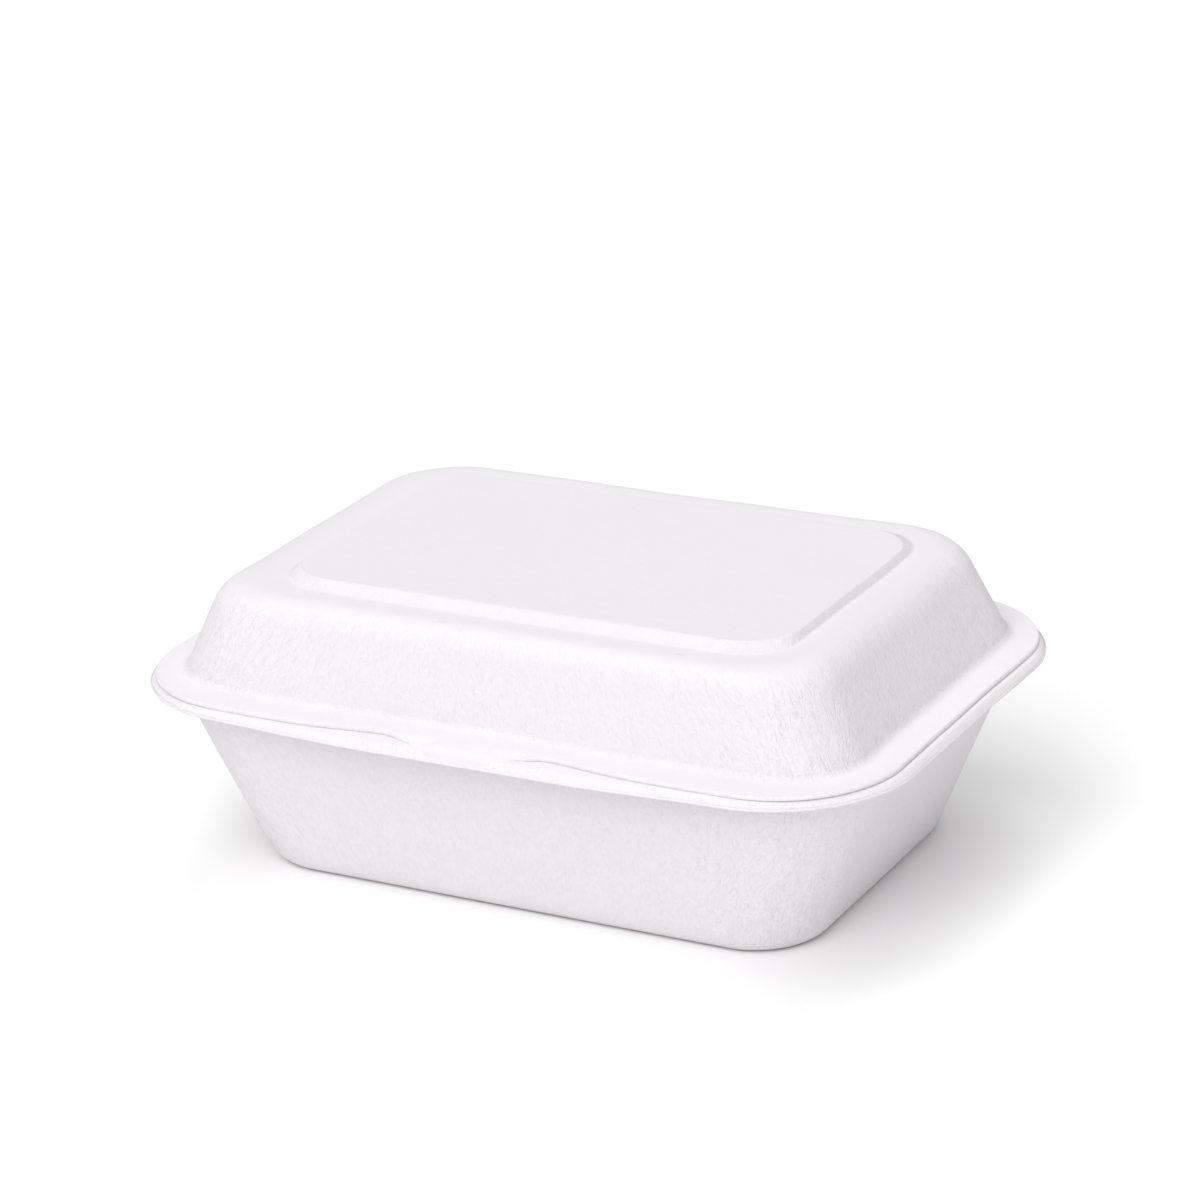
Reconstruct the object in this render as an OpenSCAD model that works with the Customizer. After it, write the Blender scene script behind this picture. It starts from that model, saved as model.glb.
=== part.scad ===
// Takeaway clamshell box moulded from sugarcane pulp.
// A deep tray and a shallow lid with a raised panel share one long hinge side at -Y.
// The tray stands on z = 0 with its bottom centred on the origin. The lid is drawn closed.
// All sizes are in millimetres. "Ends" are the short sides at -X and +X, "sides" the long ones.

/* [Sheet] */
// Thickness of the pulp sheet
sheet_t = 0.8; // [0.5:0.1:1.5]
// Gap between the two flanges when the lid is closed
seam_gap = 0.3; // [0.1:0.1:0.8]

/* [Tray flange] */
// Length over the tray's flange
flange_l = 180; // [150:1:240]
// Width over the tray's flange, without the swelling at the hinge
flange_w = 124; // [105:1:170]
// Corner radius of the flange
flange_r = 30.4; // [26:0.2:40]
// Width of the flange, from its edge to the tray's wall
rim_w = 6; // [4:0.2:9]
// Width of the strip along the edge that rolls down, away from the hinge
lip_w = 1.8; // [1:0.1:2.4]
// How far the edge drops below the flat of the flange
lip_drop = 1.2; // [0.4:0.1:2.5]

/* [Tray] */
// Height of the flange's top face above the table
rim_h = 44.2; // [30:0.2:70]
// How far the end walls lean in from the mouth down to the bottom
tray_lean_ends = 17.6; // [6:0.2:24]
// How far the side walls lean in from the mouth down to the bottom
tray_lean_sides = 13.8; // [6:0.2:20]
// Corner radius of the bottom, seen from above
foot_r = 15.7; // [8:0.5:24]
// Rounding between the bottom and the wall
foot_round = 4; // [1.5:0.5:7]
// Rounding between the wall and the flange
mouth_round = 1.8; // [0.8:0.2:2.4]

/* [Hinge side] */
// How far the tray's flange swells out along the hinge
hinge_reach = 2; // [1:0.1:5]
// Half the length over which the swelling keeps its full reach
hinge_full = 22; // [16:1:26]
// Length over which the swelling dies away at each end
hinge_run = 37; // [20:1:40]
// Half the width of the web that joins tray and lid, along the fold
web_half = 10.5; // [7:0.5:14]
// Length of the curved flank at each side of the web
web_flank = 4.5; // [2:0.5:6]
// How far the lid's edge pulls in beside the web
slot_dip = 2; // [0.5:0.1:3]
// Length over which that pull dies away
slot_run = 26; // [14:1:34]

/* [Lid flange] */
// How far the tray's flange shows outside the lid's edge at the ends
reveal_ends = 2.2; // [1:0.1:4]
// How far the tray's flange shows outside the lid's edge at the sides
reveal_sides = 1.8; // [1:0.1:4]
// Corner radius of the lid's flange
lid_r = 26.4; // [20:0.5:32]
// Width of the lid's flange at the ends
lid_rim_ends = 7.2; // [5:0.2:10]
// Width of the lid's flange at the sides
lid_rim_sides = 8.1; // [6:0.2:11]

/* [Lid] */
// Height of the ledge around the panel above the lid's underside
dome_h = 21.4; // [14:0.2:35]
// How far the lid's end walls lean in up to the shoulder
dome_lean_ends = 9.1; // [2:0.2:12]
// How far the lid's side walls lean in up to the shoulder
dome_lean_sides = 3.6; // [1:0.2:8]
// Corner radius at the foot of the lid's wall
dome_r = 16.3; // [10:0.5:24]
// Rounding between the lid's flange and wall
dome_round = 2.6; // [1:0.2:3.6]
// Corner radius of the shoulder, seen from above
crown_r = 17.1; // [12:0.5:22]
// Rounding of the shoulder
crown_round = 5.8; // [3:0.2:7.4]

/* [Lid panel] */
// Width of the ledge between shoulder and panel at the ends
ledge_ends = 11; // [6:0.1:14]
// Width of the ledge between shoulder and panel at the sides
ledge_sides = 9.1; // [6:0.1:14]
// Corner radius of the panel
panel_r = 12.6; // [8:0.5:18]
// How far the panel stands above the ledge
panel_rise = 1.7; // [1.2:0.1:6]
// How far the panel's step leans inward on its way up at the ends
panel_lean_ends = 1.3; // [0.4:0.1:3]
// How far the panel's step leans inward on its way up at the sides
panel_lean_sides = 3.6; // [0.4:0.1:5]
// How far the panel lies off the lid's middle, towards the right end
panel_shift = 2; // [0:0.1:4]
// Rounding along the top and the foot of the panel's step
panel_round = 1.3; // [0.5:0.1:1.3]

/* [Smoothness] */
// Steps in each quarter turn of a corner
corner_steps = 8; // [4:1:12]
// Steps across each rounded edge
edge_steps = 4; // [2:1:6]

/* [Hidden] */
pulp_white = [0.965, 0.952, 0.960];

// Heights that follow from the sizes above
lid_z = rim_h + seam_gap;
ledge_h = lid_z + dome_h;
lid_h = ledge_h + panel_rise;

// Places along the hinge side and across it
web_out = web_half + web_flank;
tab_reach = hinge_reach + reveal_sides;

// A section is a rounded rectangle at one height:
// [length, width, corner radius, height, share of the tray's swelling, share of the lid's web, middle in X]
function section(l, w, r, z, swell = 0, web = 0) = [l, w, r, z, swell, web, 0];
function inset(s, d) = [s[0] - 2 * d, s[1] - 2 * d, s[2] - d, s[3], s[4], s[5], s[6]];
function at(s, z) = [s[0], s[1], s[2], z, s[4], s[5], s[6]];

// A section inside another: its ends and sides step in by two widths, and its middle may shift
function within(s, ends, sides, r, z, shift = 0) =
    [s[0] - 2 * ends, s[1] - 2 * sides, r, z, 0, 0, s[6] + shift];
function mix(a, b, t) = a + (b - a) * t;
function reach(a, b) = norm([(a[0] - b[0]) / 2, a[3] - b[3]]);
function towards(a, b, d) = mix(a, b, d / reach(a, b));

// Sections of a rounded edge: a quadratic curve from p to q that bends towards the corner c
function rounded(p, c, q) =
    [for (i = [0 : edge_steps]) let (t = i / edge_steps) mix(mix(p, c, t), mix(c, q, t), t)];

// The largest rounding that the two walls of a corner leave room for
function fitting(d, c, a, b) = min(d, 0.45 * reach(c, a), 0.8 * reach(c, b));

// Smooth step from 0 to 1
function ease(t) = let (s = max(0, min(1, t))) s * s * (3 - 2 * s);

// How far the tray's edge stands out along the hinge side, at the distance x from its middle
function swelling(x) = hinge_reach * (1 - ease((abs(x) - hinge_full) / hinge_run));

// How far the lid's edge stands out: the web in the middle and a shallow dip at each side of it
function web(x) =
    (tab_reach + slot_dip) * (1 - ease((abs(x) - web_half) / web_flank))
    - slot_dip * ease((web_out + slot_run - abs(x)) / slot_run);

// Stations along the hinge side, as shares of half its straight length, from left to right
straight = flange_l / 2 - flange_r;
flank_steps = 5;
outer_steps = 6;
right_stations = concat(
    [for (i = [0 : flank_steps]) mix(web_half, web_out, i / flank_steps) / straight],
    [for (i = [1 : outer_steps]) mix(web_out, straight, i / outer_steps) / straight]);
stations = concat([for (i = [len(right_stations) - 1 : -1 : 0]) -right_stations[i]], [0], right_stations);

// Points of one section, counter-clockwise from the left end of the hinge side
function corner(s, sx, sy, from) =
    [for (i = [0 : corner_steps])
        let (a = from + 90 * i / corner_steps)
        [s[6] + sx * (s[0] / 2 - s[2]) + s[2] * cos(a), sy * (s[1] / 2 - s[2]) + s[2] * sin(a), s[3]]];
function hinge_side(s) =
    [for (u = stations)
        let (x = u * (s[0] / 2 - s[2]))
        [s[6] + x, -s[1] / 2 - s[4] * swelling(x) - s[5] * web(x), s[3]]];
function outline(s) = concat(
    hinge_side(s),
    [for (i = [1 : corner_steps]) corner(s, 1, -1, 270)[i]],
    corner(s, 1, 1, 0),
    corner(s, -1, 1, 90),
    [for (i = [0 : corner_steps - 1]) corner(s, -1, -1, 180)[i]]);

// One closed sheet: from the middle of its underside out over the edge and back on its top side
module sheet(sections) {
    rings = [for (s = sections) outline(s)];
    n = len(rings[0]);
    last = len(rings) - 1;
    walls = [for (j = [0 : last - 1], i = [0 : n - 1])
        let (k = (i + 1) % n)
        each [[j * n + i, (j + 1) * n + i, (j + 1) * n + k], [j * n + i, (j + 1) * n + k, j * n + k]]];
    middles = [for (s = [sections[0], sections[last]]) [s[6], 0, s[3]]];
    under_mid = (last + 1) * n;
    under_cap = [for (i = [0 : n - 1]) [i, (i + 1) % n, under_mid]];
    top_cap = [for (i = [0 : n - 1]) [last * n + (i + 1) % n, last * n + i, under_mid + 1]];
    polyhedron(concat([for (r = rings) each r], middles), concat(under_cap, walls, top_cap), convexity = 6);
}

// How far a leaning wall's inner face lies inside its outer face at the same corner
function wall_inset(a, b) =
    let (lean = atan(abs(a[0] - b[0]) / 2 / abs(a[3] - b[3])))
    sheet_t * (1 / cos(lean) - tan(lean));

// Tray, outside and inside of the sheet
flange = section(flange_l, flange_w, flange_r, rim_h, swell = 1);
mouth = within(flange, rim_w, rim_w, flange_r - rim_w, rim_h - sheet_t);
foot = within(mouth, tray_lean_ends, tray_lean_sides, foot_r, 0);
lip_start = within(flange, lip_w, lip_w, flange_r - lip_w, rim_h);
lip_under = at(lip_start, rim_h - sheet_t);
lip_low = at(inset(flange, sheet_t / 2), rim_h - lip_drop - sheet_t);
tray_inset = wall_inset(foot, mouth);
inner_foot = at(inset(foot, tray_inset), sheet_t);
inner_mouth = at(inset(mouth, tray_inset), rim_h);
foot_fit = fitting(foot_round, foot, mouth, mouth);
inner_foot_fit = max(sheet_t / 2, foot_fit - sheet_t / 2);
mouth_fit = fitting(mouth_round, mouth, foot, lip_under);

module tray() {
    color(pulp_white)
    sheet(concat(
        rounded(inset(foot, foot_fit), foot, towards(foot, mouth, foot_fit)),
        rounded(towards(mouth, foot, mouth_fit), mouth, towards(mouth, lip_under, mouth_fit)),
        rounded(lip_under, at(inset(flange, sheet_t), rim_h - sheet_t), lip_low),
        rounded(at(flange, rim_h - lip_drop), inset(flange, sheet_t / 3), lip_start),
        rounded(towards(inner_mouth, lip_start, mouth_fit), inner_mouth,
            towards(inner_mouth, inner_foot, mouth_fit)),
        rounded(towards(inner_foot, inner_mouth, inner_foot_fit), inner_foot, inset(inner_foot, inner_foot_fit))
    ));
}

// Lid, outside of the sheet
lid_under_edge = section(flange_l - 2 * reveal_ends, flange_w - 2 * reveal_sides, lid_r, lid_z, web = 1);
lid_top_edge = at(lid_under_edge, lid_z + sheet_t);
dome = within(lid_top_edge, lid_rim_ends, lid_rim_sides, dome_r, lid_z + sheet_t);
crown = within(dome, dome_lean_ends, dome_lean_sides, crown_r, ledge_h);
step_foot = within(crown, ledge_ends, ledge_sides, panel_r, ledge_h, panel_shift);
step_top = within(step_foot, panel_lean_ends, panel_lean_sides, panel_r - panel_lean_ends, lid_h);

// Lid, inside of the sheet
lid_inset = wall_inset(dome, crown);
step_inset = wall_inset(step_foot, step_top);
inner_dome = at(inset(dome, lid_inset), lid_z);
inner_crown = at(inset(crown, lid_inset), ledge_h - sheet_t);
inner_step_foot = at(inset(step_foot, step_inset), ledge_h - sheet_t);
inner_step_top = at(inset(step_top, step_inset), lid_h - sheet_t);
dome_fit = fitting(dome_round, dome, crown, crown);
crown_fit = fitting(crown_round, crown, dome, step_foot);
inner_crown_fit = max(sheet_t, crown_fit - sheet_t / 2);
panel_fit = min(panel_round, 0.2 * reach(crown, step_foot), 0.45 * reach(step_foot, step_top));
edge_round = sheet_t / 4;

module lid() {
    color(pulp_white)
    sheet(concat(
        rounded(inset(inner_step_top, panel_fit), inner_step_top,
            towards(inner_step_top, inner_step_foot, panel_fit)),
        rounded(towards(inner_step_foot, inner_step_top, panel_fit), inner_step_foot,
            towards(inner_step_foot, inner_crown, panel_fit)),
        rounded(towards(inner_crown, inner_step_foot, inner_crown_fit), inner_crown,
            towards(inner_crown, inner_dome, inner_crown_fit)),
        rounded(towards(inner_dome, inner_crown, dome_fit), inner_dome, inset(inner_dome, -dome_fit)),
        [inset(lid_under_edge, edge_round), at(lid_under_edge, lid_z + edge_round)],
        [at(lid_top_edge, lid_z + sheet_t - edge_round), inset(lid_top_edge, edge_round)],
        rounded(inset(dome, -dome_fit), dome, towards(dome, crown, dome_fit)),
        rounded(towards(crown, dome, crown_fit), crown, towards(crown, step_foot, crown_fit)),
        rounded(towards(step_foot, crown, panel_fit), step_foot, towards(step_foot, step_top, panel_fit)),
        rounded(towards(step_top, step_foot, panel_fit), step_top, inset(step_top, panel_fit))
    ));
}

tray();
lid();
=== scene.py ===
# Bagasse clamshell box: a takeaway box pressed from one sheet of sugarcane pulp, closed,
# seen from its hinge side. Lengths are worked out in millimetres and written in metres.
import bpy
import numpy as np
from mathutils import Matrix, Vector


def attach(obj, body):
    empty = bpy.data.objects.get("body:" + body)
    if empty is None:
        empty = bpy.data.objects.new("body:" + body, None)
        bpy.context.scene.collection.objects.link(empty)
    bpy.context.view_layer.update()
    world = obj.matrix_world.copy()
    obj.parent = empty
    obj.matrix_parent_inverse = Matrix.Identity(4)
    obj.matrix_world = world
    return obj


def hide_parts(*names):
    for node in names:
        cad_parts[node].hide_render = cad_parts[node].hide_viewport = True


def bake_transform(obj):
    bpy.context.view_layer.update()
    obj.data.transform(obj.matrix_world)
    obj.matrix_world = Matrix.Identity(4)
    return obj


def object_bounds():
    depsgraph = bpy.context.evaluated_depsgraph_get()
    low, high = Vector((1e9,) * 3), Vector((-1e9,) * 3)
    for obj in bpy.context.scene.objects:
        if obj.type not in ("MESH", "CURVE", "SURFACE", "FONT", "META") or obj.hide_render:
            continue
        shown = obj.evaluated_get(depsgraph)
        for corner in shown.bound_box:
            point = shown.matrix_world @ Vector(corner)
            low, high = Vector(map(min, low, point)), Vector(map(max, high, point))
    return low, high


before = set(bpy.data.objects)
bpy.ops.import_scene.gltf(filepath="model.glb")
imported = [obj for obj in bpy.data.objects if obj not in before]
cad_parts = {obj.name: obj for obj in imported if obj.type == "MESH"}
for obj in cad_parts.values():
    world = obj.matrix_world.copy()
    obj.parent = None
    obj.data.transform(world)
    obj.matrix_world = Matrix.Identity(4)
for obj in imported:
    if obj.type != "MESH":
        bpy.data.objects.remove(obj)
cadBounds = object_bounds()
scene = bpy.context.scene
mm = 0.001
print("frame loaded:", ", ".join(sorted(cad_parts)))


# The camera

cameraSettings = {
    "azimuth": 28.836,     # degrees round the box, 0 looks along +Y
    "elevation": 20.669,   # degrees above the table
    "roll": -2.481,        # the photograph is turned slightly
    "distance": 908.04,    # mm from the aim point
    "lens": 124.95,        # mm on a 36 mm wide sensor, for a square picture
    "aim": (-0.441, 3.055, 55.397),
}


def makeCamera(s):
    azimuth, elevation, roll = np.radians((s["azimuth"], s["elevation"], s["roll"]))
    level = np.array([np.sin(azimuth), -np.cos(azimuth), 0.0])
    back = np.cos(elevation) * level + np.sin(elevation) * np.array([0.0, 0.0, 1.0])
    right = np.array([np.cos(azimuth), np.sin(azimuth), 0.0])
    up = np.cross(back, right)
    turnedRight = np.cos(roll) * right + np.sin(roll) * up
    turnedUp = -np.sin(roll) * right + np.cos(roll) * up
    data = bpy.data.cameras.new("camera")
    data.sensor_width = 36
    data.lens = s["lens"]
    data.clip_start, data.clip_end = 0.01, 50
    camera = bpy.data.objects.new("camera", data)
    place = Matrix(np.column_stack((turnedRight, turnedUp, back)).tolist()).to_4x4()
    place.translation = Vector((np.array(s["aim"]) + back * s["distance"]) * mm)
    camera.matrix_world = place
    scene.collection.objects.link(camera)
    scene.camera = camera


makeCamera(cameraSettings)
print("camera made")


# The sheet's plan: rounded rectangles, one for each station of a profile

# A section is [length, width, corner radius, height, share of the tray's swelling, share of the
# lid's web, middle in X]
def section(length, width, radius, height, swell=0.0, web=0.0, middle=0.0):
    return np.array([length, width, radius, height, swell, web, middle], float)


# Sections whose edge lies inside the first one's, by one distance or a column of them
def inset(s, by):
    return s - by * np.array([2, 2, 1, 0, 0, 0, 0])


def within(s, ends, sides, radius, height, shift=0.0):
    return section(s[0] - 2 * ends, s[1] - 2 * sides, radius, height, middle=s[6] + shift)


def atHeight(s, height):
    lifted = s.copy()
    lifted[..., 3] = height
    return lifted


# Smooth step from 0 to 1, with level ends
def ease(t):
    t = np.clip(t, 0, 1)
    return t * t * (3 - 2 * t)


sheet = {
    "thickness": 0.8,
    "cornerSteps": 26,      # facets in each corner of the plan
    "sideSteps": 64,        # facets along the far side
    "endSteps": 40,         # facets along each end
    "webShare": 0.32,       # middle share of the hinge side, where the facets are closer
    "webSteps": 72,         # facets along that share
    "besideSteps": 40,      # facets from it to each end of the side
    "spacing": 1.15,        # mm between stations on the walls and flats
    "bendSteps": 7,         # facets across a rounded edge
    "rollSteps": 8,         # facets round the sheet's free edge
}

hingeSide = {
    "reach": 2.0,           # how far the tray's flange swells out along the hinge
    "full": 22.0,           # half the length with the full reach
    "run": 37.0,            # length over which the swelling dies away
    "tab": 4.45,            # how far the web reaches out past the slots beside it, laid flat
    "tabHalf": 10.2,        # half its width where it is full
    "tabFlank": 2.8,        # length of the curve at each side of it
    "slotDip": 2.0,         # how far the lid's edge pulls in beside the web
    "slotEnd": 41.8,        # where that pull has died away
    "slotRun": 26.0,        # length over which it does
    "flare": 1.9,           # how far the slots' inner ends turn out again
    "flareFrom": 13.0, "flareRun": 7.5,
}


# Distance that the tray's edge stands out at x: full in the middle, then a smooth step down
def swellingAt(x, h=hingeSide):
    return h["reach"] * (1 - ease((np.abs(x) - h["full"]) / h["run"]))


# Distance that the lid's edge stands out at x: a long shallow dip, its turned-out inner end and
# the web in the middle, each a smooth step of the distance from the middle
def webAt(x, h=hingeSide):
    span = np.abs(x)
    dip = h["slotDip"] * ease((h["slotEnd"] - span) / h["slotRun"])
    flare = h["flare"] * (1 - ease((span - h["flareFrom"]) / h["flareRun"]))
    tab = h["tab"] * (1 - ease((span - h["tabHalf"]) / h["tabFlank"]))
    return tab + flare - dip


# Places round a section, the same for all sections: which corner circle, as two signs that slide
# from -1 to 1 along the straight sides, and the angle on that circle
def ringPlaces(s=sheet):
    quarter = np.linspace(0, np.pi / 2, s["cornerSteps"], endpoint=False)
    slide = np.linspace(-1, 1, s["sideSteps"], endpoint=False)
    end = np.linspace(-1, 1, s["endSteps"], endpoint=False)
    share = s["webShare"]
    hinge = np.concatenate([np.linspace(-1, -share, s["besideSteps"], endpoint=False),
                            np.linspace(-share, share, s["webSteps"], endpoint=False),
                            np.linspace(share, 1, s["besideSteps"], endpoint=False)])
    one = np.ones_like(quarter)
    acrossEnd, acrossSide = np.ones_like(end), np.ones_like(slide)
    alongX = np.concatenate([hinge, one, acrossEnd, one, -slide, -one, -acrossEnd, -one])
    alongY = np.concatenate([-np.ones_like(hinge), -one, end, one, acrossSide, one, -end, -one])
    turn = np.pi / 2
    angle = np.concatenate([np.full(len(hinge), 3 * turn), 3 * turn + quarter,
                            np.full(len(end), 4 * turn), 4 * turn + quarter,
                            np.full(len(slide), 5 * turn), 5 * turn + quarter,
                            np.full(len(end), 6 * turn), 6 * turn + quarter])
    return alongX, alongY, angle


# Grid of points: each station's rounded rectangle is a corner circle of its radius, carried to the
# place that the two signs give, and on the hinge side its swelling and its web are added outwards
def sheetGrid(stations):
    alongX, alongY, angle = ringPlaces()
    length, width, radius, height, swell, web, middle = (stations[:, i:i + 1] for i in range(7))
    x = alongX * (length / 2 - radius) + radius * np.cos(angle)
    y = alongY * (width / 2 - radius) + radius * np.sin(angle)
    onHinge = np.isclose(angle, 1.5 * np.pi)
    y = y - onHinge * (swell * swellingAt(x) + web * webAt(x))
    z = np.broadcast_to(height, x.shape)
    return np.stack([x + middle, y, z], axis=-1)


# Stations of a profile that runs through corner sections, each bent over its rounding: a quadratic
# curve there, and evenly spaced stations on the straight between two bends. A third number at a
# corner is the spacing on the way to it.
def profile(corners, s=sheet):
    def reach(a, b):
        return np.hypot((a[0] - b[0]) / 2, a[3] - b[3])
    parts = []
    last = corners[0][0]
    for i in range(1, len(corners)):
        here, rounding, spacing = (*corners[i], s["spacing"])[:3]
        before = here if rounding == 0 else here + (last - here) * min(0.98, rounding / reach(here, last))
        count = max(1, int(np.ceil(reach(last, before) / spacing)))
        t = np.linspace(0, 1, count, endpoint=False)[:, None]
        parts.append(last + (before - last) * t)
        last = before
        if rounding:
            following = corners[i + 1][0]
            after = here + (following - here) * min(0.98, rounding / reach(here, following))
            t = np.linspace(0, 1, s["bendSteps"], endpoint=False)[:, None]
            parts.append((1 - t) ** 2 * before + 2 * t * (1 - t) * here + t ** 2 * after)
            last = after
    parts.append(last[None])
    return np.concatenate(parts)


# Stations that roll round the sheet's free edge, from its underside to its top: a quarter of one
# ellipse up to where the edge reaches furthest, and a quarter of another from there
def rolledEdge(s, low, furthest, top, lowDepth, topDepth, count):
    turn = np.linspace(-np.pi / 2, np.pi / 2, count + 1)[1:-1]
    depth = np.where(turn < 0, lowDepth, topDepth)
    height = np.where(turn < 0, furthest - low, top - furthest)
    return atHeight(inset(s, (depth * (1 - np.cos(turn)))[:, None]), furthest + height * np.sin(turn))


# Rings that shrink a flat section onto its middle, by equal steps of size
def shrinking(s, count=14, least=0.03):
    factor = np.linspace(least, 1, count, endpoint=False)[:, None]
    rings = np.repeat(s[None], count, axis=0)
    rings[:, :3] = s[:3] * factor
    return rings


# The box that no point may leave, from the frame
boxLow, boxHigh = (np.array(corner) / mm for corner in cadBounds)


# How a hand-pressed sheet strays from its mould: three crossed waves 30 to 70 mm long on each axis
def pressedWaves(p, amount):
    x, y, z = p[..., 0], p[..., 1], p[..., 2]
    alongX = np.sin(y / 11.0 + z / 9.0 + 0.6) + 0.6 * np.sin(y / 5.3 - z / 7.1 + 2.1)
    alongY = np.sin(x / 13.0 - z / 8.0 + 1.3) + 0.6 * np.sin(x / 5.9 + z / 6.3 + 0.4)
    alongZ = np.sin(x / 15.0 + 0.9) * np.sin(y / 12.0 + 0.2) + 0.5 * np.sin(x / 6.7 + y / 7.9)
    return np.clip(p + amount * np.stack([alongX, alongY, alongZ], axis=-1), boxLow, boxHigh)


# Closed mesh from a grid whose rows are rings: quads between rings, and a fan at each pole
def meshFromRings(name, grid):
    rings, count = grid.shape[:2]
    poles = grid[[0, -1]].mean(axis=1)
    points = np.concatenate([grid.reshape(-1, 3), poles]) * mm
    j, i = np.meshgrid(np.arange(rings - 1), np.arange(count), indexing="ij")
    k = (i + 1) % count
    quads = np.stack([j * count + i, j * count + k, (j + 1) * count + k, (j + 1) * count + i], axis=-1)
    around = np.arange(count)
    following = (around + 1) % count
    first = np.full(count, rings * count)
    lowFan = np.stack([following, around, first], axis=-1)
    topFan = np.stack([(rings - 1) * count + around, (rings - 1) * count + following, first + 1], axis=-1)
    corners = np.concatenate([quads.ravel(), lowFan.ravel(), topFan.ravel()])
    sizes = np.concatenate([np.full((rings - 1) * count, 4), np.full(2 * count, 3)])
    mesh = bpy.data.meshes.new(name)
    mesh.vertices.add(len(points))
    mesh.vertices.foreach_set("co", points.ravel())
    mesh.loops.add(len(corners))
    mesh.loops.foreach_set("vertex_index", corners)
    mesh.polygons.add(len(sizes))
    mesh.polygons.foreach_set("loop_start", np.concatenate([[0], np.cumsum(sizes)[:-1]]))
    mesh.polygons.foreach_set("use_smooth", np.ones(len(sizes), bool))
    mesh.update(calc_edges=True)
    piece = bpy.data.objects.new(name, mesh)
    scene.collection.objects.link(piece)
    return piece


drawing = {
    "strength": 0.75,       # of the wrinkles on a wall
    "cornerStrength": 0.5,  # added at the corners
    "wallFrom": 0.6,        # rings that climb at least this share of their profile are wall
}


# Gives a piece the two values that its wrinkles read. "crinkle" is their strength: the share of the
# profile that climbs, and more at the corners. "drawn" is where a point lay in the sheet, in mm:
# the distance round the walls, rolled up into a circle, and the distance along the profile.
# The material also reads "crinkle" to paint a rosy shade on the walls and a highlight on the ridges'
# crests.
def markDrawing(piece, grid, s=drawing):
    along = np.diff(grid, axis=0, append=grid[-1:])
    step = np.linalg.norm(along, axis=-1)
    steep = np.abs(along[..., 2]) / np.maximum(step, 1e-6)
    alongX, alongY, angle = ringPlaces()
    atCorner = ((np.abs(alongX) == 1) & (np.abs(alongY) == 1)).astype(float)
    blur = np.hanning(2 * sheet["cornerSteps"] + 1)
    atCorner = np.convolve(np.tile(atCorner, 3), blur / blur.sum(), "same")[len(angle):2 * len(angle)]
    crinkle = steep * (s["strength"] + s["cornerStrength"] * atCorner)
    wall = grid[steep.mean(axis=1) > s["wallFrom"]].mean(axis=0)
    stride = np.linalg.norm(np.diff(wall, axis=0, append=wall[:1]), axis=-1)
    radius = stride.sum() / (2 * np.pi)
    turn = (np.cumsum(stride) - stride) / radius
    down = np.cumsum(step.mean(axis=1))[:, None]
    drawn = np.stack(np.broadcast_arrays(radius * np.cos(turn), radius * np.sin(turn), down), axis=-1)
    crinkles = piece.data.attributes.new("crinkle", "FLOAT", "POINT")
    crinkles.data.foreach_set("value", np.append(crinkle.ravel(), [0.0, 0.0]))
    places = piece.data.attributes.new("drawn", "FLOAT_VECTOR", "POINT")
    places.data.foreach_set("vector", np.append(drawn.ravel(), [*drawn[0, 0], *drawn[-1, 0]]))


# The tray

tray = {
    "flangeLength": 180.0, "flangeWidth": 124.0, "flangeRadius": 30.4,
    "rimHeight": 44.2,
    "rimWidth": 6.0,        # flange, from its edge to the wall
    "lipZone": 2.6,         # strip along the edge that holds the whole lip
    "lipWidth": 1.8,        # where the lip starts to roll down, and how much of it curves
    "lipCurve": 1.4, "lipPower": 1.6,
    "lipDrop": 1.2, "lipRound": 0.4,
    "stepDrop": 1.4,        # beside the web the lip is a step down with a thin ledge outside it
    "stepFoot": 1.0, "stepRun": 1.2, "stepRound": 0.28,
    "stepHalf": 20.0, "stepFade": 14.0,    # half the length with the full step, and how it fades
    "lowest": 42.22,        # underside of the lip
    "lipSteps": 14,
    "leanEnds": 17.6, "leanSides": 13.8,   # how far the walls lean in down to the bottom
    "footRadius": 15.7, "footRound": 4.0, "mouthRound": 1.9,
    "flatFloor": 14.0,      # from the bottom's edge to where its rings only shrink
    "waves": 0.10, "waveRise": 12.0,       # mm above the table where the waves are full
}


# How far a leaning wall's inner face lies inside its outer face at the same corner
def wallInset(a, b):
    lean = np.arctan(abs(a[0] - b[0]) / 2 / abs(a[3] - b[3]))
    return sheet["thickness"] * (1 / np.cos(lean) - np.tan(lean))


# Stations across the lip, underside to top. Away from the hinge its top falls with a power of the
# distance to the edge; beside the web it falls in a smooth step and runs out flat.
def lipStations(flange, s, stepped):
    rim, thick = s["rimHeight"], sheet["thickness"]
    depth = s["stepRound"] if stepped else s["lipRound"]
    across = np.linspace(depth, s["lipZone"], s["lipSteps"])
    if stepped:
        top = rim - s["stepDrop"] * (1 - ease((across - s["stepFoot"]) / s["stepRun"]))
    else:
        top = rim - s["lipDrop"] * np.clip((s["lipWidth"] - across) / s["lipCurve"], 0, 1) ** s["lipPower"]
    low = np.maximum(top - thick, s["lowest"])
    rows = inset(flange, across[:, None])
    rolled = rolledEdge(flange, low[0], (low[0] + top[0]) / 2, top[0], depth, depth, sheet["rollSteps"])
    return np.concatenate([atHeight(rows, low)[::-1], rolled, atHeight(rows, top)])


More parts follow.
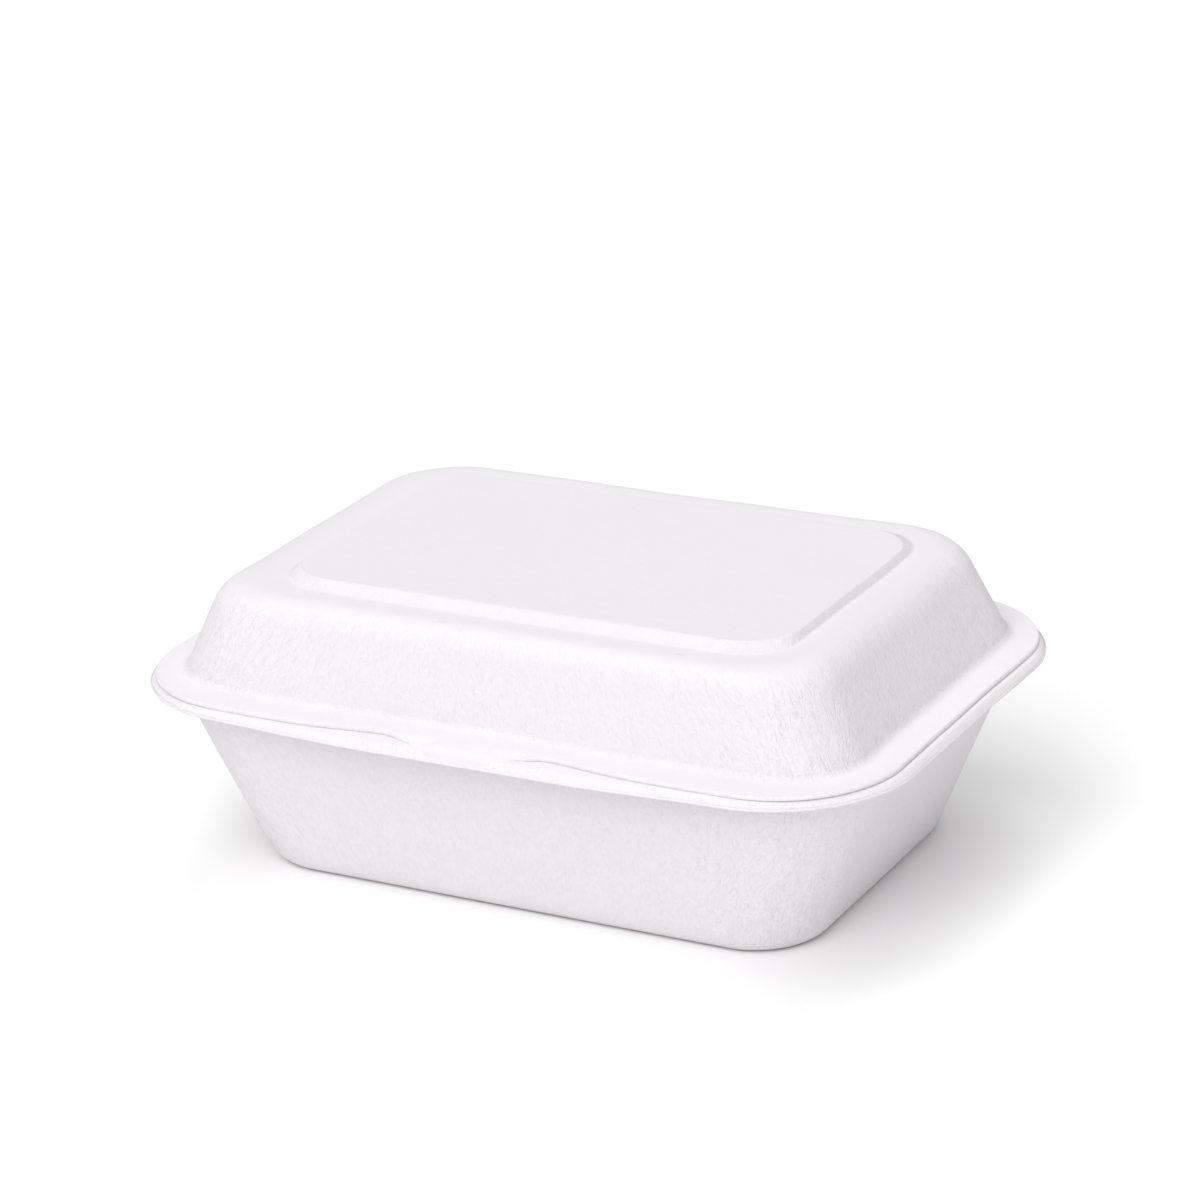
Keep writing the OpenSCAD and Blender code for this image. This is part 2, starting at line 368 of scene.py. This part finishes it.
# The tray is one sheet: from the middle of its underside out over the lip and back down inside
def makeTray(s):
    thick = sheet["thickness"]
    rim = s["rimHeight"]
    flange = section(s["flangeLength"], s["flangeWidth"], s["flangeRadius"], rim, swell=1)
    mouth = within(flange, s["rimWidth"], s["rimWidth"], s["flangeRadius"] - s["rimWidth"], rim - thick)
    foot = within(mouth, s["leanEnds"], s["leanSides"], s["footRadius"], 0)
    lipStart = inset(flange, s["lipZone"])
    innerFoot = atHeight(inset(foot, wallInset(foot, mouth)), thick)
    innerMouth = atHeight(inset(mouth, wallInset(foot, mouth)), rim)
    floorEdge = inset(foot, s["flatFloor"])
    innerFloorEdge = inset(innerFoot, s["flatFloor"])
    outside = profile([(floorEdge, 0), (foot, s["footRound"]), (mouth, s["mouthRound"]),
                       (atHeight(lipStart, rim - thick), 0)])
    inside = profile([(lipStart, 0), (innerMouth, s["mouthRound"]),
                      (innerFoot, s["footRound"] - thick / 2), (innerFloorEdge, 0)])
    plain, stepped = (
        sheetGrid(np.concatenate([shrinking(floorEdge), outside[:-1], lipStations(flange, s, withStep),
                                  inside[1:], shrinking(innerFloorEdge)[::-1]]))
        for withStep in (False, True))
    x, y = plain[..., :1], plain[..., 1:2]
    besideWeb = (y < 0) * (1 - ease((np.abs(x) - s["stepHalf"]) / s["stepFade"]))
    grid = plain + (stepped - plain) * besideWeb
    waved = pressedWaves(grid, s["waves"])
    piece = meshFromRings("tray_shell", grid + (waved - grid) * ease(grid[..., 2:3] / s["waveRise"]))
    markDrawing(piece, grid)
    return piece


# The lid

lid = {
    "revealEnds": 2.2, "revealSides": 1.8,  # how much of the tray's flange shows outside the lid's edge
    "edgeRadius": 26.4,
    "low": 44.22, "top": 45.3,              # faces of the flange, which all but lies on the tray's
    "edgeReach": 44.48, "edgeLow": 0.08, "edgeRound": 0.5,   # its edge: rounded above, sharp below
    "rimEnds": 7.2, "rimSides": 8.1,        # flange, from its edge to the foot of the wall
    "fineRim": 4.3, "fineSpacing": 0.27,    # closer stations over the flange's outer part
    "ledge": 65.9,                          # height of the ledge round the panel
    "leanEnds": 9.1, "leanSides": 3.6,
    "footRadius": 16.3, "footRound": 1.6,
    "crownRadius": 17.1, "crownRound": 5.8,
    "ledgeEnds": 11.0, "ledgeSides": 9.1,
    "panelRadius": 12.6, "panelTop": 67.6, "panelShift": 2.0,
    "panelLeanEnds": 1.3, "panelLeanSides": 3.6, "panelRound": 0.45,
    "panelFlat": 9.0,                       # from the panel's edge to where its rings only shrink
    "liftFrom": 62.0, "liftRun": 18.0, "lift": 0.05,   # the flange's ends don't quite lie down
    "bendLine": -61.0,                      # where the web turns down over the tray's lip
    "bendRadius": 2.2, "bendAngle": 92.0,   # of its outer face
    "neutral": 0.2,                         # depth, as a share of the sheet, that keeps its length
    "toeHeight": 0.6, "toeReach": 0.5,      # its end turns out again into the tray's lip
    "toeLevel": 42.7, "toeDepth": 0.1,
    "thinned": 0.68, "thinRun": 1.3,        # the web is pressed thin from inside along the bend
    # the flange thins to a skin and sinks onto the tray's beside the web
    "settleEnd": 16.8, "settleFlank": 4.0, "settleStart": 4.6, "settleRun": 5.2,
    "settleFrom": -57.6, "settleDepth": 2.6, "settled": 44.21, "skin": 0.08,
    "blendLow": 42.75, "blendHigh": 43.95,   # two heights on the web's lower part, between its toe and the tray's rim
    "waves": 0.10,
}


# The web's shape, from the flange laid flat. Beside the web the flange first thins and sinks, by a
# product of smooth steps along and across, down to the tray's. What lies beyond the bend line is
# then pressed thinner and laid round a circle of the bend radius and straight on down, and turns
# out at its end by the square of the share of the toe's height that it has come down.
def shapeWeb(grid, s):
    x, y, z = grid[..., 0], grid[..., 1], grid[..., 2]
    span = np.abs(x)
    onFlange = (y < 0) & (z < s["top"] + 1e-6)
    sunk = ease((s["settleEnd"] - span) / s["settleFlank"])
    sunk = sunk * ease((span - s["settleStart"]) / s["settleRun"])
    sunk = sunk * ease((s["settleFrom"] - y) / s["settleDepth"]) * onFlange
    beyond = np.maximum(s["bendLine"] - y, 0) * onFlange
    thickness = s["top"] - s["low"]
    under = (s["top"] - z) / thickness                       # 0 on the top face, 1 on the underside
    pressed = 1 - s["thinned"] * ease(beyond / s["thinRun"])
    thin = (thickness + (s["skin"] - thickness) * sunk) * pressed
    sunkDepth = sunk * (s["top"] - s["settled"] - s["skin"])
    depth = np.where(onFlange, sunkDepth + under * thin, s["top"] - z)
    full = np.radians(s["bendAngle"])
    middle = s["bendRadius"] - s["neutral"] * thickness
    angle = np.minimum(beyond / middle, full)
    straight = np.maximum(beyond - full * middle, 0)
    radius = s["bendRadius"] - depth
    bentY = s["bendLine"] - radius * np.sin(angle) - straight * np.cos(full)
    bentZ = s["top"] - s["bendRadius"] + radius * np.cos(angle) - straight * np.sin(full)
    left = np.clip((s["toeLevel"] + s["toeHeight"] - bentZ) / s["toeHeight"], 0, 1)
    bentY = bentY - s["toeReach"] * left ** 2
    bentZ = np.maximum(bentZ, s["toeLevel"] - s["toeDepth"] * under)
    bent = beyond > 0
    return np.stack([x, np.where(bent, bentY, y), np.where(bent, bentZ, s["top"] - depth)], axis=-1)


# The lid is one sheet too: from the middle of its underside out over the edge and back on top
def makeLid(s):
    thick = sheet["thickness"]
    edgeLength = tray["flangeLength"] - 2 * s["revealEnds"]
    edgeWidth = tray["flangeWidth"] - 2 * s["revealSides"]
    edge = section(edgeLength, edgeWidth, s["edgeRadius"], s["top"], web=1)
    foot = within(edge, s["rimEnds"], s["rimSides"], s["footRadius"], s["top"])
    crown = within(foot, s["leanEnds"], s["leanSides"], s["crownRadius"], s["ledge"])
    stepFoot = within(crown, s["ledgeEnds"], s["ledgeSides"], s["panelRadius"], s["ledge"],
                      s["panelShift"])
    stepTop = within(stepFoot, s["panelLeanEnds"], s["panelLeanSides"],
                     s["panelRadius"] - s["panelLeanEnds"], s["panelTop"])
    lidInset, stepInset = wallInset(foot, crown), wallInset(stepFoot, stepTop)
    innerFoot = atHeight(inset(foot, lidInset), s["low"])
    innerCrown = atHeight(inset(crown, lidInset), s["ledge"] - thick)
    innerStepFoot = atHeight(inset(stepFoot, stepInset), s["ledge"] - thick)
    innerStepTop = atHeight(inset(stepTop, stepInset), s["panelTop"] - thick)
    panelEdge = inset(stepTop, s["panelFlat"])
    innerPanelEdge = inset(innerStepTop, s["panelFlat"])
    outerRim = edge + (foot - edge) * s["fineRim"] / s["rimSides"]
    lowRim = atHeight(outerRim, s["low"])
    lowEdge = atHeight(inset(edge, s["edgeLow"]), s["low"])
    topEdge = inset(edge, s["edgeRound"])
    inside = profile([(innerPanelEdge, 0), (innerStepTop, s["panelRound"]),
                      (innerStepFoot, s["panelRound"]), (innerCrown, s["crownRound"] - thick / 2),
                      (innerFoot, s["footRound"]), (lowRim, 0), (lowEdge, 0, s["fineSpacing"])])
    outside = profile([(topEdge, 0), (outerRim, 0, s["fineSpacing"]), (foot, s["footRound"]),
                       (crown, s["crownRound"]), (stepFoot, s["panelRound"]),
                       (stepTop, s["panelRound"]), (panelEdge, 0)])
    rolled = rolledEdge(edge, s["low"], s["edgeReach"], s["top"], s["edgeLow"], s["edgeRound"],
                        sheet["rollSteps"])
    grid = sheetGrid(np.concatenate([shrinking(innerPanelEdge), inside, rolled, outside,
                                     shrinking(panelEdge)[::-1]]))
    shaped = shapeWeb(grid, s)
    under = np.clip((s["top"] - grid[..., 2]) / (s["top"] - s["low"]), 0, 1)
    atEnds = ease((np.abs(grid[..., 0]) - s["liftFrom"]) / s["liftRun"])
    shaped[..., 2] += s["lift"] * under * atEnds
    piece = meshFromRings("lid_shell", pressedWaves(shaped, s["waves"]))
    markDrawing(piece, grid)
    return piece


trayShell = makeTray(tray)
print("tray made:", len(trayShell.data.polygons), "faces")
lidShell = makeLid(lid)
print("lid made:", len(lidShell.data.polygons), "faces")


# Materials

def hexColour(text):
    srgb = np.array([int(text[i:i + 2], 16) for i in (1, 3, 5)]) / 255
    linear = np.where(srgb <= 0.04045, srgb / 12.92, ((srgb + 0.055) / 1.055) ** 2.4)
    return (*linear.tolist(), 1.0)


# Adds one node, sets its properties and unlinked inputs, and links inputs that are given a socket
def addNode(tree, kind, inputs=None, **settings):
    node = tree.nodes.new(kind)
    for name, value in settings.items():
        setattr(node, name, value)
    for name, value in (inputs or {}).items():
        if isinstance(value, bpy.types.NodeSocket):
            tree.links.new(value, node.inputs[name])
        else:
            node.inputs[name].default_value = value
    return node


# Moulded bagasse: sugarcane pulp drawn onto a wire mesh mould and hot-pressed. It is a matt white
# with the faintest rose tint and hardly any gloss. Where the wet sheet was drawn down a wall it lies
# in a net of short fine ridges that run down the wall; on the flats it is only felted and faintly
# mottled. Here and there a darker scrap of fibre shows.
# Painted light: the walls' rosier tone is painted shade, and the ridges' lighter crests are a painted
# highlight.
bagasse = {
    "colour": "#e8e7e9",
    "roseToneAndShadeColour": "#eae5e8",     # rosier colour: painted shade on the walls, and the thick and thin places' own tone
    "crestHighlightColour": "#f0edf0",    # painted highlight on the ridges' crests, which catch the light while the valleys lie in shade
    "crestShare": 0.8,           # how much of that shows on a full ridge
    "crestWidth": 5.0,           # power that narrows the crests
    "roughness": 0.78,
    "ridgeSpacing": 1.0,         # mm between ridges across a wall
    "ridgeLength": 2.6,          # mm along a ridge
    "ridgeDepth": 0.22,          # mm
    "ridgeBend": 1.2,            # how far the net strays from straight ridges
    "mottleSize": 2.4,           # mm across a low or high spot on the flats
    "mottleDepth": 0.09,         # mm
    "fibreWidth": 0.42,          # mm, drawn coarser than real fibres of 0.02 mm so that it shows
    "fibreDepth": 0.045,         # mm
    "cloudSize": 14.0,           # mm across a thick or thin place in the sheet
    "rosyClouds": 0.6,           # how much of the rose tint the thick and thin places carry
    "scrapColour": "#c09c99",
    # Scraps of fibre: place, half size along each axis in mm, and how much each shows
    "scraps": (((-12.0, -44.6, 65.9), (1.4, 0.6, 1.0), 0.13),
               ((42.9, -43.0, 65.9), (1.7, 0.6, 1.0), 0.20),
               ((-33.0, -57.0, 45.3), (0.6, 0.5, 1.0), 0.10)),
}


def makeBagasse(s):
    material = bpy.data.materials.new("moulded_bagasse")
    material.use_nodes = True
    tree = material.node_tree
    tree.nodes.clear()
    place = addNode(tree, "ShaderNodeTexCoord").outputs["Object"]
    inMillimetres = addNode(tree, "ShaderNodeMapping", {
        "Vector": place, "Scale": (1 / mm, 1 / mm, 1 / mm)}).outputs["Vector"]
    # Ridges: where a noise crosses its middle value, in the sheet's own coordinates
    drawn = addNode(tree, "ShaderNodeAttribute", attribute_name="drawn").outputs["Vector"]
    stretched = addNode(tree, "ShaderNodeMapping", {
        "Vector": drawn, "Scale": (1, 1, s["ridgeSpacing"] / s["ridgeLength"])}).outputs["Vector"]
    net = addNode(tree, "ShaderNodeTexNoise", {
        "Vector": stretched, "Scale": 1 / s["ridgeSpacing"], "Detail": 2.0, "Roughness": 0.5,
        "Distortion": s["ridgeBend"]})
    signed = addNode(tree, "ShaderNodeMath", {0: net.outputs["Fac"], 1: 2.0, 2: -1.0},
                     operation="MULTIPLY_ADD")
    valley = addNode(tree, "ShaderNodeMath", {0: signed.outputs["Value"]}, operation="ABSOLUTE")
    ridge = addNode(tree, "ShaderNodeMath", {0: 1.0, 1: valley.outputs["Value"]},
                    operation="SUBTRACT").outputs["Value"]
    strength = addNode(tree, "ShaderNodeAttribute", attribute_name="crinkle").outputs["Fac"]
    relief = addNode(tree, "ShaderNodeMath", {0: ridge, 1: strength}, operation="MULTIPLY")
    fibres = addNode(tree, "ShaderNodeTexNoise", {
        "Vector": inMillimetres, "Scale": 0.5 / s["fibreWidth"], "Detail": 4.0, "Roughness": 0.6,
        "Distortion": 0.4})
    mottle = addNode(tree, "ShaderNodeTexNoise", {
        "Vector": inMillimetres, "Scale": 1 / s["mottleSize"], "Detail": 2.0, "Roughness": 0.5})
    clouds = addNode(tree, "ShaderNodeTexNoise", {
        "Vector": inMillimetres, "Scale": 1 / s["cloudSize"], "Detail": 3.0, "Roughness": 0.6})
    fibreBump = addNode(tree, "ShaderNodeBump", {
        "Height": fibres.outputs["Fac"], "Strength": 1.0, "Distance": s["fibreDepth"] * mm})
    mottleBump = addNode(tree, "ShaderNodeBump", {
        "Height": mottle.outputs["Fac"], "Strength": 1.0, "Distance": s["mottleDepth"] * mm,
        "Normal": fibreBump.outputs["Normal"]})
    ridgeBump = addNode(tree, "ShaderNodeBump", {
        "Height": relief.outputs["Value"], "Strength": 1.0, "Distance": s["ridgeDepth"] * mm,
        "Normal": mottleBump.outputs["Normal"]})
    # Rose tint: the thick and thin places' own tone, plus painted shade on the walls, where the crinkle
    # strength is high
    rosy = addNode(tree, "ShaderNodeMath", {0: clouds.outputs["Fac"], 1: s["rosyClouds"], 2: strength},
                   operation="MULTIPLY_ADD", use_clamp=True).outputs["Value"]
    colour = addNode(tree, "ShaderNodeMix", {
        "Factor": rosy, "A": hexColour(s["colour"]), "B": hexColour(s["roseToneAndShadeColour"])},
        data_type="RGBA").outputs["Result"]
    # Painted highlight: the ridges' crests are made lighter, standing in for light on the crests and shade
    # in the valleys
    crest = addNode(tree, "ShaderNodeMath", {0: ridge, 1: s["crestWidth"]}, operation="POWER")
    shown = addNode(tree, "ShaderNodeMath", {0: crest.outputs["Value"], 1: strength},
                    operation="MULTIPLY")
    crestHighlightFactor = addNode(tree, "ShaderNodeMath", {0: shown.outputs["Value"], 1: s["crestShare"]},
                          operation="MULTIPLY").outputs["Value"]
    colour = addNode(tree, "ShaderNodeMix", {
        "Factor": crestHighlightFactor, "A": colour, "B": hexColour(s["crestHighlightColour"])},
        data_type="RGBA").outputs["Result"]
    # Each scrap is a soft-edged spot: the distance from its middle, in its half sizes, made uneven
    for middle, half, amount in s["scraps"]:
        away = addNode(tree, "ShaderNodeMapping", {
            "Vector": inMillimetres, "Scale": tuple(1 / h for h in half),
            "Location": tuple(-m / h for m, h in zip(middle, half))}).outputs["Vector"]
        distance = addNode(tree, "ShaderNodeVectorMath", {0: away}, operation="LENGTH").outputs["Value"]
        uneven = addNode(tree, "ShaderNodeMath", {0: fibres.outputs["Fac"], 1: 0.8, 2: distance},
                         operation="MULTIPLY_ADD").outputs["Value"]
        spot = addNode(tree, "ShaderNodeMapRange", {
            "Value": uneven, "From Min": 0.7, "From Max": 1.5, "To Min": amount, "To Max": 0.0},
            interpolation_type="SMOOTHSTEP").outputs["Result"]
        colour = addNode(tree, "ShaderNodeMix", {
            "Factor": spot, "A": colour, "B": hexColour(s["scrapColour"])},
            data_type="RGBA").outputs["Result"]
    shader = addNode(tree, "ShaderNodeBsdfPrincipled", {
        "Base Color": colour, "Roughness": s["roughness"], "IOR": 1.45,
        "Specular IOR Level": 0.25, "Normal": ridgeBump.outputs["Normal"]})
    addNode(tree, "ShaderNodeOutputMaterial", {"Surface": shader.outputs["BSDF"]})
    return material


bagasseMaterial = makeBagasse(bagasse)
for piece in (trayShell, lidShell):
    piece.data.materials.append(bagasseMaterial)
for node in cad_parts.values():
    for holder in node.material_slots:
        holder.material = bagasseMaterial
print("material made")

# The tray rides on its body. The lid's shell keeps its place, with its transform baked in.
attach(trayShell, "tray")
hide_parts("tray")
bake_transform(lidShell)
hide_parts("lid")


# The studio: a white floor under an even white sky, and five wide soft lights whose shares of the
# floor's brightness were matched to the photograph's shading and to its shadow at the right

studio = {
    "floorSize": 12.0,          # m
    "floorColour": "#fdfdfd",
    "skyColour": "#ffffff",
    "skyStrength": 0.22,
    "lightColour": "#ffffff",
    "spread": 35.0,             # degrees across each light
    # Each light: degrees above the floor, degrees round from straight behind the camera towards
    # its left, and the share that it adds to the floor's brightness
    "lights": ((40.0, -10.0, 0.165), (40.0, 30.0, 0.209), (62.0, 70.0, 0.182), (62.0, 200.0, 0.185),
               (88.0, 0.0, 0.115)),
}


def makeStudio(s):
    half = s["floorSize"] / 2
    mesh = bpy.data.meshes.new("floor")
    corners = [(-half, -half, 0), (half, -half, 0), (half, half, 0), (-half, half, 0)]
    mesh.from_pydata(corners, [], [(0, 1, 2, 3)])
    floor = bpy.data.objects.new("floor", mesh)
    scene.collection.objects.link(floor)
    paint = bpy.data.materials.new("floor_paint")
    paint.use_nodes = True
    shader = paint.node_tree.nodes["Principled BSDF"]
    shader.inputs["Base Color"].default_value = hexColour(s["floorColour"])
    shader.inputs["Roughness"].default_value = 0.9
    shader.inputs["Specular IOR Level"].default_value = 0.1
    mesh.materials.append(paint)
    world = bpy.data.worlds.new("sky")
    world.use_nodes = True
    sky = world.node_tree.nodes["Background"]
    sky.inputs["Color"].default_value = hexColour(s["skyColour"])
    sky.inputs["Strength"].default_value = s["skyStrength"]
    scene.world = world
    azimuth = np.radians(cameraSettings["azimuth"])
    back = np.array([np.sin(azimuth), -np.cos(azimuth), 0.0])
    left = np.array([-np.cos(azimuth), -np.sin(azimuth), 0.0])
    for number, (elevation, bearing, share) in enumerate(s["lights"]):
        rise, turn = np.radians(elevation), np.radians(bearing)
        level = np.cos(turn) * back + np.sin(turn) * left
        towards = Vector((np.cos(rise) * level + np.sin(rise) * np.array([0.0, 0.0, 1.0])).tolist())
        lamp = bpy.data.lights.new("light_" + str(number + 1), "SUN")
        lamp.angle = np.radians(s["spread"])
        lamp.energy = np.pi * share / np.sin(rise)
        lamp.color = hexColour(s["lightColour"])[:3]
        light = bpy.data.objects.new(lamp.name, lamp)
        light.rotation_euler = (-towards).to_track_quat("-Z", "Y").to_euler()
        scene.collection.objects.link(light)


makeStudio(studio)
scene.view_settings.view_transform = "Standard"
scene.view_settings.look = "None"
print("studio made")

bpy.context.view_layer.update()
